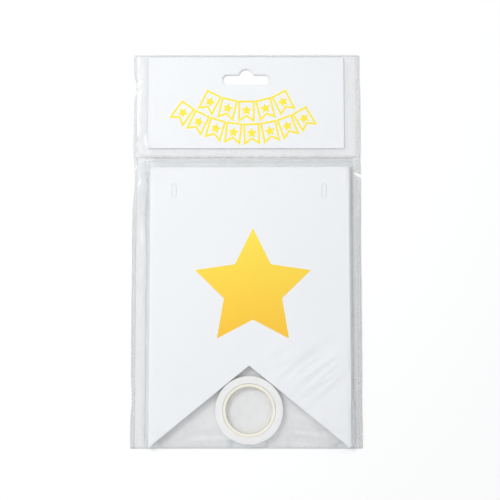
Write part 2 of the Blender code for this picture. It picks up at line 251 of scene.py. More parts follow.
clearFilmLook = {
    "colour": (0.90, 0.93, 0.96, 1),
    "shade": (0.84, 0.87, 0.90, 1),  # painted shade along the crease lines, where creases would trap the light
    "roughness": 0.13,
    "mirror": 0.85,  # what shows of clean film is nearly all reflection
    "clear": 0.0,  # how much a flat, clean stretch covers what is under it
    "haze": 0.004,
    "line": 0.003,
    "reflection": 0.36,
    "relief": 0.006,
    "sharpness": 34.0,  # higher makes its creases finer
}
backFilmLook = {
    # the grey colour is painted shade: it darkens the floor and cards seen through the back film
    "colour": (0.78, 0.79, 0.80, 1),
    # painted shade along the crease lines
    "shade": (0.72, 0.73, 0.74, 1),
    "roughness": 0.22,
    "mirror": 0.0,
    "clear": 0.10,  # handled and slightly milky; with the grey colour it also lays painted shade over what is behind
    "haze": 0.03,
    "line": 0.02,
    "reflection": 0.3,
    "relief": 0.01,
    "sharpness": 34.0,
}
fusedLook = {
    "colour": (0.97, 0.97, 0.975, 1),
    # painted shade along the crease lines
    "shade": (0.90, 0.905, 0.91, 1),
    "roughness": 0.28,
    "mirror": 0.0,  # fused film has gone milky
    "clear": 0.12,
    "haze": 0.12,
    "line": 0.04,
    "reflection": 0.2,
    "relief": 0.04,
    "sharpness": 24.0,
}


def makeFilm(name, look, scale, stretch):
    # a thin clear sheet: see-through where it faces the eye, a mirror where it slants away
    material, tree, shader = newMaterial(name)
    creases = useGroup(tree, filmCreases, Scale=scale, Stretch=stretch, Sharpness=look["sharpness"])
    rub = useGroup(tree, rubMarks, Scale=90.0, Amount=0.22)
    slant = place(tree, "ShaderNodeLayerWeight", Blend=0.33)
    cover = mathNode(tree, "MULTIPLY", slant.outputs["Fresnel"], look["reflection"])
    cover = mathNode(tree, "ADD", cover, mathNode(tree, "MULTIPLY", creases["Haze"], look["haze"]))
    cover = mathNode(tree, "ADD", cover, mathNode(tree, "MULTIPLY", creases["Line"], look["line"]))
    # painted shade: the colour darkens along the crease lines
    colour = mixColours(tree, creases["Line"], look["colour"], look["shade"])
    roughness = mathNode(tree, "MULTIPLY", mathNode(tree, "ADD", rub["Mask"], 0.6), look["roughness"])
    feed(tree, [shader.inputs[label] for label in ("Base Color", "Alpha", "Roughness", "Metallic")],
         (colour, mathNode(tree, "ADD", cover, look["clear"], clamp=True), roughness, look["mirror"]))
    bump(tree, shader, creases["Height"], 0.03 * mm, look["relief"])
    return material


foil = {
    # painted light: the top colour is paler and the bottom deeper, by height on the star
    "top": (1.0, 0.80, 0.07, 1),
    "bottom": (0.98, 0.56, 0.015, 1),
    "metal": 0.5,
    "roughness": 0.26,
}


def makeFoil(low, high):
    # hot foil on board with painted light: paler at the top, deeper at the bottom, with the board's grain
    # showing through
    material, tree, shader = newMaterial("goldFoil")
    height = parted(tree, objectSpace(tree))["Y"]
    span = place(tree, "ShaderNodeMapRange", Value=height, From_Min=low, From_Max=high)
    paintedLightSweep = mixColours(tree, span.outputs["Result"], foil["bottom"], foil["top"])
    grain = useGroup(tree, fibreGrain, Scale=1100.0, Strength=0.10,
                     Light=(1, 1, 1, 1), Dark=(0.80, 0.72, 0.5, 1))
    tinted = mixColours(tree, 1.0, paintedLightSweep, grain["Colour"], "MULTIPLY")
    shader.inputs["Metallic"].default_value = foil["metal"]
    finishLook(tree, shader, tinted, foil["roughness"], (150.0, 0.22), grain["Height"], (0.015 * mm, 0.5))
    return material


def makeInk():
    material, tree, shader = newMaterial("yellowInk")
    grain = useGroup(tree, fibreGrain, Scale=1200.0, Strength=0.12,
                     Light=(1.0, 0.84, 0.02, 1), Dark=(0.98, 0.72, 0.01, 1))
    finishLook(tree, shader, grain["Colour"], 0.4, (200.0, 0.2), grain["Height"], (0.01 * mm, 0.5))
    return material


def makeSatin():
    # ribbon: fine ribs across its width, a soft shine, plain white
    material, tree, shader = newMaterial("satinRibbon")
    grain = useGroup(tree, fibreGrain, Scale=1500.0, Strength=0.10,
                     Light=(0.99, 0.985, 0.975, 1), Dark=(0.93, 0.925, 0.92, 1))
    weave = place(tree, "ShaderNodeTexWave", bands_direction="Z", Vector=objectSpace(tree), Scale=900.0,
                  Distortion=0.6, Detail=1.0)
    shader.inputs["Sheen Weight"].default_value = 0.25
    height = mathNode(tree, "ADD", weave.outputs["Fac"], grain["Height"])
    finishLook(tree, shader, grain["Colour"], 0.25, (260.0, 0.25), height, (0.01 * mm, 0.6))
    return material


coreLook = {
    "light": (0.96, 0.93, 0.83, 1),
    "dark": (0.85, 0.79, 0.64, 1),
    "plies": 260.0,  # thin plies of paper, seen on the end face
}


def makeCoreBoard():
    material, tree, shader = newMaterial("coreBoard")
    grain = useGroup(tree, fibreGrain, Scale=700.0, Strength=0.28,
                     Light=coreLook["light"], Dark=coreLook["dark"])
    centred = place(tree, "ShaderNodeMapping", Vector=objectSpace(tree),
                    Location=(-rollMiddle.x, -rollMiddle.y, 0))
    plies = place(tree, "ShaderNodeTexWave", wave_type="RINGS", rings_direction="Z", Vector=centred.outputs[0],
                  Scale=coreLook["plies"], Distortion=0.4, Detail=2.0).outputs["Fac"]
    shade = mathNode(tree, "MULTIPLY", plies, 0.18)
    feed(tree, (shader.inputs["Base Color"], shader.inputs["Roughness"]),
         (mixColours(tree, shade, grain["Colour"], coreLook["dark"]), 0.8))
    bump(tree, shader, mathNode(tree, "ADD", plies, grain["Height"]), 0.03 * mm, 0.6)
    return material


def makeGlue():
    material, tree, shader = newMaterial("clearGlue")
    creases = useGroup(tree, filmCreases, Scale=220.0, Stretch=0.3, Sharpness=5.0)
    colour = mixColours(tree, creases["Haze"], (0.95, 0.95, 0.92, 1), (0.84, 0.84, 0.80, 1))
    cover = mathNode(tree, "ADD", mathNode(tree, "MULTIPLY", creases["Haze"], 0.03), 0.01, clamp=True)
    feed(tree, [shader.inputs[label] for label in ("Base Color", "Alpha", "Roughness")], (colour, cover, 0.32))
    bump(tree, shader, creases["Height"], 0.05 * mm, 0.6)
    return material


star = {
    "radius": 39.5 * mm,
    "waist": 0.50,  # inner corners, as a share of the radius
    "thickness": 0.012 * mm,
    "rounding": 0.9 * mm,
    "aside": 2.5 * mm,  # star's middle from the middle of a card
    "above": 11.3 * mm,
}

whiteBoard = makeBoard()
clearFilm = makeFilm("clearFilm", clearFilmLook, 150.0, 0.4)
backFilmSheet = makeFilm("backFilm", backFilmLook, 150.0, 0.4)
fusedFilm = makeFilm("fusedFilm", fusedLook, 420.0, 0.5)
starMiddle = Vector((stackMiddle.x + star["aside"], stackMiddle.y + star["above"], 0))
goldFoil = makeFoil(starMiddle.y - star["radius"], starMiddle.y + star["radius"])
yellowInk = makeInk()
satinRibbon = makeSatin()
coreBoard = makeCoreBoard()
clearGlue = makeGlue()
print("materials: board, three films, foil, ink, ribbon, core board, glue")


# Mesh helpers

def addObject(name, data):
    made = bpy.data.objects.new(name, data)
    bpy.context.scene.collection.objects.link(made)
    return made


def paint(mesh, material):
    mesh.materials.clear()
    mesh.materials.append(material)


def newPiece(name, mesh, body, slotName, *replaced, material=None):
    piece = addObject(name, mesh)
    if material:
        paint(mesh, material)
    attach(piece, body)
    if replaced:
        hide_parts(*replaced)
    return piece


def within(value, low, high):
    return min(max(value, low), high)


def castTree(names):
    points, faces = [], []
    for name in names:
        mesh = nodes[name].data
        start = len(points)
        points += [vertex.co.copy() for vertex in mesh.vertices]
        faces += [[start + i for i in face.vertices] for face in mesh.polygons]
    return BVHTree.FromPolygons(points, faces)


def topAt(tree, x, y, otherwise):
    hit = tree.ray_cast(Vector((x, y, 0.05)), -up)[0]
    return hit.z if hit else otherwise


def undersideAt(tree, x, y, otherwise):
    hit = tree.ray_cast(Vector((x, y, -0.05)), up)[0]
    return hit.z if hit else otherwise


def meshFrom(name, points, faces, smooth=True):
    mesh = bpy.data.meshes.new(name)
    mesh.from_pydata([tuple(p) for p in points], [], faces)
    mesh.validate()
    if smooth:
        mesh.shade_smooth()
    return mesh


def baked(carrier):
    # the carrier's mesh with its modifier worked in; the carrier itself goes
    bpy.context.view_layer.update()
    graph = bpy.context.evaluated_depsgraph_get()
    mesh = bpy.data.meshes.new_from_object(carrier.evaluated_get(graph))
    bpy.data.objects.remove(carrier)
    return mesh


def meshOf(shape, name):
    mesh = bpy.data.meshes.new(name)
    shape.to_mesh(mesh)
    shape.free()
    return mesh


def thicken(mesh, thickness):
    # a closed sheet whose underside is the given surface
    carrier = addObject("carrier", mesh)
    wall = carrier.modifiers.new("Thickness", "SOLIDIFY")
    wall.thickness = thickness
    wall.offset = 1
    return baked(carrier)


# Bag outline, with the small dents and the tear slit of this one

bag = {
    "leftDents": ((107, 1.9, 7), (88, 0.5, 26), (45, 1.5, 14), (-97, 0.9, 10)),  # y, depth, half length in mm
    "rightDents": ((118, 0.5, 9), (60, 0.3, 5), (-100, 0.3, 16)),
    "waver": 0.18 * mm,
    "cornerCut": 0.7 * mm,
    "slitLength": 5.0 * mm,
    "slitWidth": 1.9 * mm,
    "slitTilt": math.radians(-28),
    "film": 0.05 * mm,
    "cell": 1.0 * mm,  # how fine the front film's mesh is
    "backCell": 1.6 * mm,
}


def edgeX(y, side):
    # x of the bag's left (-1) or right (1) edge
    dents = bag["leftDents"] if side < 0 else bag["rightDents"]
    depth = sum(d * mm * math.exp(-(((y - at * mm) / (reach * mm)) ** 2)) for at, d, reach in dents)
    depth += bag["waver"] * (1 + noise.noise(Vector((side * 5.0, y * 90, 0.3))))
    fromCorner = min(y - bagLow.y, bagHigh.y - y)
    cut = bag["cornerCut"]
    if fromCorner < cut:
        depth += cut - math.sqrt(max(cut ** 2 - (cut - fromCorner) ** 2, 0))
    return side * (bagHigh.x - depth)


def slitPoints():
    # the slit's two lips and its rounded end, from the right edge inwards and back out
    tilt, half = bag["slitTilt"], bag["slitWidth"] / 2
    middle = Vector((edgeX(slitY, 1), slitY))
    inwards = Vector((-math.cos(tilt), -math.sin(tilt)))
    across = Vector((math.sin(tilt), -math.cos(tilt)))
    tip = middle + inwards * bag["slitLength"]
    mouth = Vector((0, half / math.cos(tilt)))
    lips = [middle - mouth, tip + across * half]
    for step in range(1, 6):
        angle = math.pi * step / 6
        lips.append(tip + across * (half * math.cos(angle)) + inwards * (half * math.sin(angle)))
    return lips + [tip - across * half, middle + mouth]


slitY = (lowerSeal[1].y + upperSeal[0].y) / 2


def bagOutline(low, high, inset=0.0):
    # counter-clockwise round the bag, from one y to another
    steps = max(int((high - low) / bag["cell"]), 2)
    ys = np.linspace(low, high, steps + 1)
    right = [Vector((edgeX(y, 1) - inset, y)) for y in ys]
    if low < slitY < high:
        reach = bag["slitWidth"]
        below = [p for p in right if p.y < slitY - reach]
        above = [p for p in right if p.y > slitY + reach]
        right = below + slitPoints() + above
    left = [Vector((edgeX(y, -1) + inset, y)) for y in reversed(ys)]
    across = int((bagHigh.x - bagLow.x) / bag["cell"])
    bottom = [left[-1].lerp(right[0], i / across) for i in range(1, across)]
    top = [right[-1].lerp(left[0], i / across) for i in range(1, across)]
    return bottom + right + top + left


def arcPoints(x, y, radius, start, end, steps):
    angles = np.radians(np.linspace(start, end, steps + 1))
    return [Vector((x + radius * math.cos(a), y + radius * math.sin(a))) for a in angles]


hangSlot = {
    "length": 31.0 * mm,
    "bar": 6.5 * mm,
    "bump": 4.8 * mm,
    "sink": 0.95 * mm,  # the bump's centre under the bar's upper edge
    "drop": 16.9 * mm,
    "filmInset": 0.35 * mm,  # the film's hole is cut a little wider than the card's
}


def hangSlotOutline(grow=0.0):
    end = hangSlot["bar"] / 2
    reach = hangSlot["length"] / 2 - end
    x, y = cardMiddle.x, bagHigh.y - hangSlot["drop"]
    outline = arcPoints(x - reach, y, end + grow, 90, 270, 14)
    outline += arcPoints(x + reach, y, end + grow, -90, 90, 14)
    start = math.degrees(math.asin((hangSlot["sink"] + grow) / (hangSlot["bump"] + grow)))
    outline += arcPoints(x, y + end - hangSlot["sink"], hangSlot["bump"] + grow, start, 180 - start, 18)
    return outline


def inside(outline, x, y):
    found = False
    for a, b in zip(outline, outline[1:] + outline[:1]):
        if (a.y > y) != (b.y > y) and x < (b.x - a.x) * (y - a.y) / (b.y - a.y) + a.x:
            found = not found
    return found


def filmMesh(name, outline, hole, cell, heightAt):
    # a sheet inside the outline, with a hole cut out, on a grid of points that is triangulated
    boundary = [outline] + ([hole] if hole else [])
    xs = [p.x for p in outline]
    ys = [p.y for p in outline]
    points, edges = [], []
    for loop in boundary:
        start = len(points)
        points += [Vector((p.x, p.y)) for p in loop]
        edges += [(start + i, start + (i + 1) % len(loop)) for i in range(len(loop))]
    fixed = np.array([tuple(p) for p in points])
    margin = 0.55 * cell
    for row, y in enumerate(np.arange(min(ys) + cell / 2, max(ys), cell * 0.9)):
        shift = cell / 2 * (row % 2)
        crossings = sorted(
            (b.x - a.x) * (y - a.y) / (b.y - a.y) + a.x
            for loop in boundary
            for a, b in zip(loop, loop[1:] + loop[:1])
            if (a.y > y) != (b.y > y)
        )
        near = fixed[np.abs(fixed[:, 1] - y) < margin]
        for left, right in zip(crossings[::2], crossings[1::2]):
            for x in np.arange(left + cell / 2 + shift, right - cell / 3, cell):
                if len(near) == 0 or np.min(np.hypot(near[:, 0] - x, near[:, 1] - y)) > margin:
                    points.append(Vector((x, y)))
    flat, _, triangles, *_ = delaunay_2d_cdt(points, edges, [], 0, 1e-7)
    kept = []
    for triangle in triangles:
        middle = sum((flat[i] for i in triangle), Vector((0, 0))) / 3
        if inside(outline, middle.x, middle.y) and not (hole and inside(hole, middle.x, middle.y)):
            kept.append(list(triangle))
    used = sorted({i for triangle in kept for i in triangle})
    order = {old: new for new, old in enumerate(used)}
    solid = [(flat[i].x, flat[i].y, heightAt(flat[i].x, flat[i].y)) for i in used]
    faces = []
    for triangle in kept:
        a, b, c = (flat[i] for i in triangle)
        turn = (b - a).cross(c - a)
        face = [order[i] for i in triangle]
        faces.append(face if turn > 0 else face[::-1])
    return meshFrom(name, solid, faces)


# How the front film lies: it settles over the cards and the roll, then takes its folds

film = {
    "air": 0.03 * mm,
    "settlingSteps": 2600,
    "sag": 0.0022 * mm,  # how far a free point sinks below its neighbours
    "edgeSag": 0.055 * mm,  # beside the stack the film is pulled down to the seals
    "undulation": 0.03 * mm,
    "cardTravel": 2.6 * mm,  # room above the pennants, which can slide up that far
    "headerTravel": (6.3 * mm, 7.1 * mm),  # room on the left and right of the header card
    "besideHole": 6 * mm,  # where to look for the film's height when there is a hole
    "topSeal": 1.5 * mm,  # the two films are joined this far down from the top edge
    "rise": 12 * mm,  # cut length that the way over the contents takes
    "folds": (
        # middle, reach, wavelength across and along the fold, turn in degrees, rise; the others in mm
        ((-68, -20), (5, 120), 2.6, 45, 0, 0.4),
        ((-67, 58), (7, 13), 3.4, 9, -28, 1.5),
        ((36, -76), (26, 20), 6.5, 60, -54, 0.95),
        ((42, -116), (24, 12), 5.0, 34, 80, 1.15),
        ((-34, -120), (28, 9), 5.5, 34, 100, 0.85),
        ((-69, 96), (5, 36), 2.6, 34, 0, 0.3),
        ((0, 122), (70, 5), 4.5, 60, 90, 0.12),
        ((-70, 118), (5, 9), 2.2, 6, 20, 0.45),
        ((70, 54), (5, 8), 2.1, 5, 35, 0.45),
        ((71, -60), (3, 80), 1.9, 18, 0, 0.15),
    ),
}


def foldRise(x, y):
    total = 0.0
    for number, (middle, reach, widthways, lengthways, turn, rise) in enumerate(film["folds"]):
        awayX = (x / mm - middle[0]) / reach[0]
        awayY = (y / mm - middle[1]) / reach[1]
        away = awayX ** 2 + awayY ** 2
        if away > 6:
            continue
        angle = math.radians(turn)
        along = (-x * math.sin(angle) + y * math.cos(angle)) / (lengthways * mm)
        across = (x * math.cos(angle) + y * math.sin(angle)) / (widthways * mm)
        value = noise.noise(Vector((across, along, 3.7 * number)))
        fine = noise.noise(Vector((across * 2.7, along * 2.2, 8.1 + number)))
        ridge = (1 - 2.2 * abs(value)) + 0.35 * (1 - 2 * abs(fine))
        total += max(ridge, 0) * rise * mm * math.exp(-away)
    slow = noise.noise(Vector((x * 26, y * 17, 1.3)))
    return total + film["undulation"] * (0.5 + 0.5 * slow)


def settledFilm():
    # grid of heights for the front film's underside
    contents = castTree(pennants + ["ribbon_winding", "ribbon_core", "header_card"])
    cards = castTree(pennants)
    header = castTree(["header_card"])
    backs = castTree(["pocket_back_film", "header_back_film"])
    rimTree = castTree(["front_film"])
    cell = bag["cell"]
    xs = np.arange(bagLow.x, bagHigh.x + cell / 2, cell)
    ys = np.arange(bagLow.y, bagHigh.y + cell / 2, cell)
    cardSteps = (film["cardTravel"] / 2, film["cardTravel"] + cell)
    headerSteps = (film["headerTravel"][0] + cell, -film["headerTravel"][1] - cell)
    level = np.zeros((len(ys), len(xs)))
    height = np.zeros_like(level)
    pinned = np.zeros(level.shape, bool)
    for row, y in enumerate(ys):
        for column, x in enumerate(xs):
            back = topAt(backs, x, y, 0.2 * mm)
            under = [back, topAt(contents, x, y, back)]
            under += [topAt(cards, x, y - step, back) for step in cardSteps]
            under += [topAt(header, x + step, y, back) for step in headerSteps]
            level[row, column] = max(under) + film["air"]
            nearX = within(x, bagLow.x + 0.1 * mm, bagHigh.x - 0.1 * mm)
            nearY = within(y, bagLow.y + 0.05 * mm, bagHigh.y - 0.1 * mm)
            below = topAt(rimTree, nearX, nearY - film["besideHole"], filmWall)
            height[row, column] = topAt(rimTree, nearX, nearY, below) - filmWall
            onSeal = abs(x) > abs(sealEdge)
            onWeld = headerWeld[0].y <= y <= headerWeld[1].y or y > bagHigh.y - film["topSeal"]
            pinned[row, column] = onSeal or onWeld or row == 0
    side, end = np.meshgrid(np.abs(xs - stackMiddle.x), ys)
    beside = (side > (topCard[1].x - topCard[0].x) / 2) | (end > topCard[1].y + film["cardTravel"])
    sag = np.where(beside & (end < headerWeld[0].y), film["edgeSag"], film["sag"])[1:-1, 1:-1]
    rim = height.copy()
    rim[0, :] = lowerSeal[0].z + 0.1 * mm
    height = np.maximum(height, level)
    height[pinned] = rim[pinned]
    for _ in range(film["settlingSteps"]):
        around = height.copy()
        around[1:-1, 1:-1] = (
            height[:-2, 1:-1] + height[2:, 1:-1] + height[1:-1, :-2] + height[1:-1, 2:]
        ) / 4 - sag
        height = np.maximum(around, level)
        height[pinned] = rim[pinned]
    loose = np.where(pinned, 0.15, 1.0)  # how much of a fold a point takes
    return xs, ys, height, loose


def gridValue(grid, x, y):
    column = within((x - xs[0]) / (xs[1] - xs[0]), 0, len(xs) - 1.001)
    row = within((y - ys[0]) / (ys[1] - ys[0]), 0, len(ys) - 1.001)
    i, j = int(row), int(column)
    s, t = row - i, column - j
    low = grid[i, j] * (1 - t) + grid[i, j + 1] * t
    high = grid[i + 1, j] * (1 - t) + grid[i + 1, j + 1] * t
    return low * (1 - s) + high * s


xs, ys, settled, loose = settledFilm()
print("front film settled over the cards and the roll")


def frontHeight(x, y):
    return gridValue(settled, x, y) + gridValue(loose, x, y) * foldRise(x, y)


def makeFrontFilm():
    outline = bagOutline(bagLow.y, bagHigh.y)
    hole = hangSlotOutline(hangSlot["filmInset"])
    mesh = thicken(filmMesh("frontFilm", outline, hole, bag["cell"], frontHeight), bag["film"])
    piece = newPiece("frontFilm", mesh, "bag", "clear_film", "front_film", material=clearFilm)


backFilm = {"ripple": 0.10 * mm, "rippleAcross": 9.0 * mm, "rippleAlong": 26.0 * mm}


def backHeight(tree, x, y):
    # a back film keeps its place under the cards and ripples a little
    clampedX = within(x, bagLow.x + 0.2 * mm, bagHigh.x - 0.2 * mm)
    base = topAt(tree, clampedX, y, None)
    if base is None:
        base = topAt(tree, clampedX - math.copysign(film["besideHole"], clampedX), y, filmWall)
    wave = noise.noise(Vector((x / backFilm["rippleAcross"], y / backFilm["rippleAlong"], base * 1000)))
    return base - filmWall + 0.02 * mm + backFilm["ripple"] * (0.5 + 0.5 * wave)


def makeBackFilms():
    hole = hangSlotOutline(hangSlot["filmInset"])
    for name, node, cut, support in (("pocketBackFilm", "pocket_back_film", None, "closure_flap"),
                                     ("headerBackFilm", "header_back_film", hole, "pocket_back_film")):
        start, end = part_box(node)
        tree = castTree([node])
        outline = bagOutline(start.y + 0.01 * mm, end.y - 0.01 * mm, 0.1 * mm)
        inner = lambda x, y: backHeight(tree, x, within(y, start.y + 0.05 * mm, end.y - 0.05 * mm))
        mesh = thicken(filmMesh(name, outline, cut, bag["backCell"], inner), bag["film"])
        piece = newPiece(name, mesh, "bag", "clear_film", node, material=backFilmSheet)


flap = {"corner": 4.0 * mm, "ripple": 0.05 * mm}


def makeFlap():
    low, high = flapBox
    corner = flap["corner"]
    outline = arcPoints(low.x + corner, low.y + corner, corner, 180, 270, 8)
    outline += arcPoints(high.x - corner, low.y + corner, corner, 270, 360, 8)
    outline += [Vector((high.x, high.y)), Vector((low.x, high.y))]

    def heightAt(x, y):
        wave = noise.noise(Vector((x * 60, y * 90, 4.4)))
        return low.z + 0.06 * mm + flap["ripple"] * (1 + wave)

    mesh = thicken(filmMesh("closureFlap", outline, None, bag["backCell"], heightAt), bag["film"])
    piece = newPiece("closureFlap", mesh, "closure_flap", "clear_film", "closure_flap", material=clearFilm)


makeFrontFilm()
makeBackFilms()
makeFlap()
print("films: front, pocket back, header back, closing flap")


# Side seals and welds: fused strips, puckered between their films

seal = {
    "columns": 7,
    "step": 0.7 * mm,
    "pucker": 0.035 * mm,
    "puckerPitch": 2.5 * mm,
    "drift": 0.12 * mm,  # how far a weld strays from its line
    "inset": 0.15 * mm,  # from the bag's edge, so that no strip shows past the films
}


def stripMesh(name, node, low, high, spanAt, lengthwise):
    # closed strip with wavy faces inside the node's own thickness; spanAt gives its two sides
    tree = castTree([node])
    boxLow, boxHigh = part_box(node)
    steps = max(int((high - low) / seal["step"]), 4)
    rings = []
    for step in range(steps + 1):
        s = low + (high - low) * step / steps
        first, last = spanAt(s)
        topRow, lowRow = [], []
        for column in range(seal["columns"]):
            t = first + (last - first) * column / (seal["columns"] - 1)
            x, y = (t, s) if lengthwise else (s, t)
            castX = within(x, boxLow.x + 0.05 * mm, boxHigh.x - 0.05 * mm)
            castY = within(y, boxLow.y + 0.05 * mm, boxHigh.y - 0.05 * mm)
            top = topAt(tree, castX, castY, boxHigh.z)
            bottom = undersideAt(tree, castX, castY, boxLow.z)
            phase = 2 * math.pi * s / seal["puckerPitch"] + math.pi * (column % 2)
            swell = math.sin(math.pi * (column + 0.5) / seal["columns"])
            wave = seal["pucker"] * (0.5 + 0.5 * math.sin(phase)) * swell
            topRow.append((x, y, top - wave))
            lowRow.append((x, y, bottom + wave * 0.6))
        rings.append(topRow + lowRow[::-1])
    points = [point for ring in rings for point in ring]
    size = len(rings[0])
    faces = [
        [r * size + c, r * size + (c + 1) % size, (r + 1) * size + (c + 1) % size, (r + 1) * size + c]
        for r in range(steps)
        for c in range(size)
    ]
    faces += [list(range(size))[::-1], [steps * size + c for c in range(size)]]
    mesh = meshFrom(name, points, faces)
    shape = bmesh.new()
    shape.from_mesh(mesh)
    bmesh.ops.recalc_face_normals(shape, faces=shape.faces)
    shape.to_mesh(mesh)
    shape.free()
    return mesh


def makeSeals():
    inset = seal["inset"]
    for name, node, side in (("leftSeal", "left_side_seal", -1), ("rightLowerSeal", "right_lower_seal", 1),
                             ("rightUpperSeal", "right_upper_seal", 1)):
        low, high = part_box(node)
        span = lambda y: sorted((edgeX(y, side) - side * inset, side * (bagHigh.x - sealWidth)))
        mesh = stripMesh(name, node, low.y + 2 * inset, high.y - 2 * inset, span, True)
        newPiece(name, mesh, "bag", "fused_film", node, material=fusedFilm)
    for name, node in (("headerWeld", "header_weld"), ("topWeld", "top_weld")):
        low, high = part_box(node)

        def span(x):
            drift = seal["drift"] * noise.noise(Vector((x * 60, low.y * 10, 0)))
            return low.y + inset + drift, high.y - inset + drift

        mesh = stripMesh(name, node, low.x, high.x, span, False)
        newPiece(name, mesh, "bag", "fused_film", node, material=fusedFilm)


makeSeals()


def geometryTree(name, inputs):
    tree = bpy.data.node_groups.new(name, "GeometryNodeTree")
    tree.interface.new_socket("Geometry", in_out="INPUT", socket_type="NodeSocketGeometry")
    kinds = {float: "NodeSocketFloat", int: "NodeSocketInt", type(None): "NodeSocketMaterial"}
    for label, value in inputs.items():
        socket = tree.interface.new_socket(label, in_out="INPUT", socket_type=kinds[type(value)])
        if value is not None:
            socket.default_value = value
    tree.interface.new_socket("Geometry", in_out="OUTPUT", socket_type="NodeSocketGeometry")
    return tree, tree.nodes.new("NodeGroupInput").outputs, tree.nodes.new("NodeGroupOutput").inputs


def runTree(mesh, tree, values):
    # the tree's result on a mesh, as a plain mesh
    carrier = addObject("carrier", mesh)
    modifier = carrier.modifiers.new("Make", "NODES")
    modifier.node_group = tree
    for item in tree.interface.items_tree:
        if item.in_out == "INPUT" and item.name in values:
            modifier[item.identifier] = values[item.name]
    return baked(carrier)


def finishTree(tree, last, given, result):
    real = place(tree, "GeometryNodeRealizeInstances", Geometry=last)
    painted = place(tree, "GeometryNodeSetMaterial", Geometry=real.outputs[0], Material=given["Material"])
    tree.links.new(painted.outputs[0], result[0])


pips = {
    "pitch": 2.5 * mm,
    "radius": 0.62 * mm,
    "flatness": 0.16,  # height as a share of the radius
    "rowGap": 1.3 * mm,
    "unevenness": 0.25,
    "seed": 7,
}


def makePipTree():
    # lens-shaped pips in two staggered rows along each path
    tree, given, result = geometryTree("sealPips", {
        "Pitch": pips["pitch"], "Radius": pips["radius"], "Flatness": pips["flatness"],
        "Row Gap": pips["rowGap"], "Unevenness": pips["unevenness"], "Seed": pips["seed"], "Material": None,
    })
    path = place(tree, "GeometryNodeMeshToCurve", Mesh=given["Geometry"])
    spaced = place(tree, "GeometryNodeResampleCurve", mode="LENGTH", Curve=path.outputs[0],
                   Length=mathNode(tree, "MULTIPLY", given["Pitch"], 0.5))
    index = tree.nodes.new("GeometryNodeInputIndex").outputs[0]
    odd = mathNode(tree, "SUBTRACT", mathNode(tree, "MODULO", index, 2.0), 0.5)
    rows = place(tree, "GeometryNodeSetPosition", Geometry=spaced.outputs[0],
                 Offset=joined(tree, mathNode(tree, "MULTIPLY", odd, given["Row Gap"])))
    lens = place(tree, "GeometryNodeMeshUVSphere", Segments=8, Rings=4, Radius=given["Radius"])
    smooth = tree.nodes.new("GeometryNodeSetShadeSmooth")
    feed(tree, smooth.inputs, [lens.outputs["Mesh"]])
    chance = place(tree, "FunctionNodeRandomValue", data_type="FLOAT", Seed=given["Seed"])
    feed(tree, [chance.inputs[2]], [mathNode(tree, "SUBTRACT", 1.0, given["Unevenness"])])
    width = chance.outputs[1]
    size = joined(tree, width, mathNode(tree, "MULTIPLY", width, 1.25), given["Flatness"])
    dotted = place(tree, "GeometryNodeInstanceOnPoints", Points=rows.outputs[0], Instance=smooth.outputs[0],
                   Scale=size)
    finishTree(tree, dotted.outputs[0], given, result)
    return tree


def makePips():
    points, edges = [], []
    for side, (low, high) in ((-1, leftSeal), (1, lowerSeal), (1, upperSeal)):
        start = len(points)
        for y in np.arange(low.y + 1.5 * mm, high.y - 1.5 * mm, 1.0 * mm):
            x = side * (bagHigh.x - sealWidth / 2) * 0.5 + 0.5 * (edgeX(y, side) - side * sealWidth / 2)
            points.append((x, y, frontHeight(x, y) + bag["film"] * 0.6))
        edges += [(i, i + 1) for i in range(start, len(points) - 1)]
    paths = bpy.data.meshes.new("sealPaths")
    paths.from_pydata(points, edges, [])
    newPiece("sealPips", runTree(paths, makePipTree(), {"Material": fusedFilm}), "bag", "fused_film")


makePips()
print("seals, welds and their pips")


# Cards: foil stars, tabs and the printed bunting

printGap = 0.001 * mm  # between a card and the foil or ink on it


def starOutline(radius, waist, rounding, steps=4):
    # five points, each corner rounded by a short curve
    corners = []
    for number in range(10):
        reach = radius if number % 2 == 0 else radius * waist
        angle = math.radians(90 + 36 * number)
        corners.append(Vector((reach * math.cos(angle), reach * math.sin(angle))))
    outline = []
    for before, corner, after in zip(corners[-1:] + corners[:-1], corners, corners[1:] + corners[:1]):
        start = corner + (before - corner).normalized() * rounding
        end = corner + (after - corner).normalized() * rounding
        for step in range(steps + 1):
            t = step / steps
            outline.append(start * (1 - t) ** 2 + corner * (2 * t * (1 - t)) + end * t ** 2)
    return outline


def addSlab(shape, outline, z, rise, place2d=None):
    # closed flat plate on an outline
    moved = [place2d @ Vector((p.x, p.y, 0)) if place2d else Vector((p.x, p.y, 0)) for p in outline]
    low = [shape.verts.new((p.x, p.y, z)) for p in moved]
    high = [shape.verts.new((p.x, p.y, z + rise)) for p in moved]
    shape.faces.new(high)
    shape.faces.new(low[::-1])
    for i in range(len(low)):
        j = (i + 1) % len(low)
        shape.faces.new((low[i], low[j], high[j], high[i]))


def makeStars():
    outline = starOutline(star["radius"], star["waist"], star["rounding"])
    for name in pennants:
        low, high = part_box(name)
        middle = starMiddle + (low + high) / 2 - stackMiddle
        shape = bmesh.new()
        shift = Matrix.Translation((middle.x, middle.y, 0))
        addSlab(shape, outline, high.z + printGap, star["thickness"], shift)
        newPiece("foilStar" + name[-2:], meshOf(shape, "star"), name, "gold_foil", material=goldFoil)


threadSlot = {
    "width": 3.2 * mm,
    "height": 9.0 * mm,
    "inset": 15.4 * mm,  # from a card's side to the slot's middle
    "drop": 14.6 * mm,
    "cut": 0.16 * mm,  # the die's cut between a tab and its card
    "sunk": 0.02 * mm,
}


def tabOutline(side):
    # a round-ended tab, on the card's own axes from the middle of its top edge
    radius = threadSlot["width"] / 2 - threadSlot["cut"]
    reach = threadSlot["height"] / 2 - threadSlot["width"] / 2
    x = side * ((topCard[1].x - topCard[0].x) / 2 - threadSlot["inset"])
    y = -threadSlot["drop"]
    return arcPoints(x, y + reach, radius, 0, 180, 12) + arcPoints(x, y - reach, radius, 180, 360, 12)


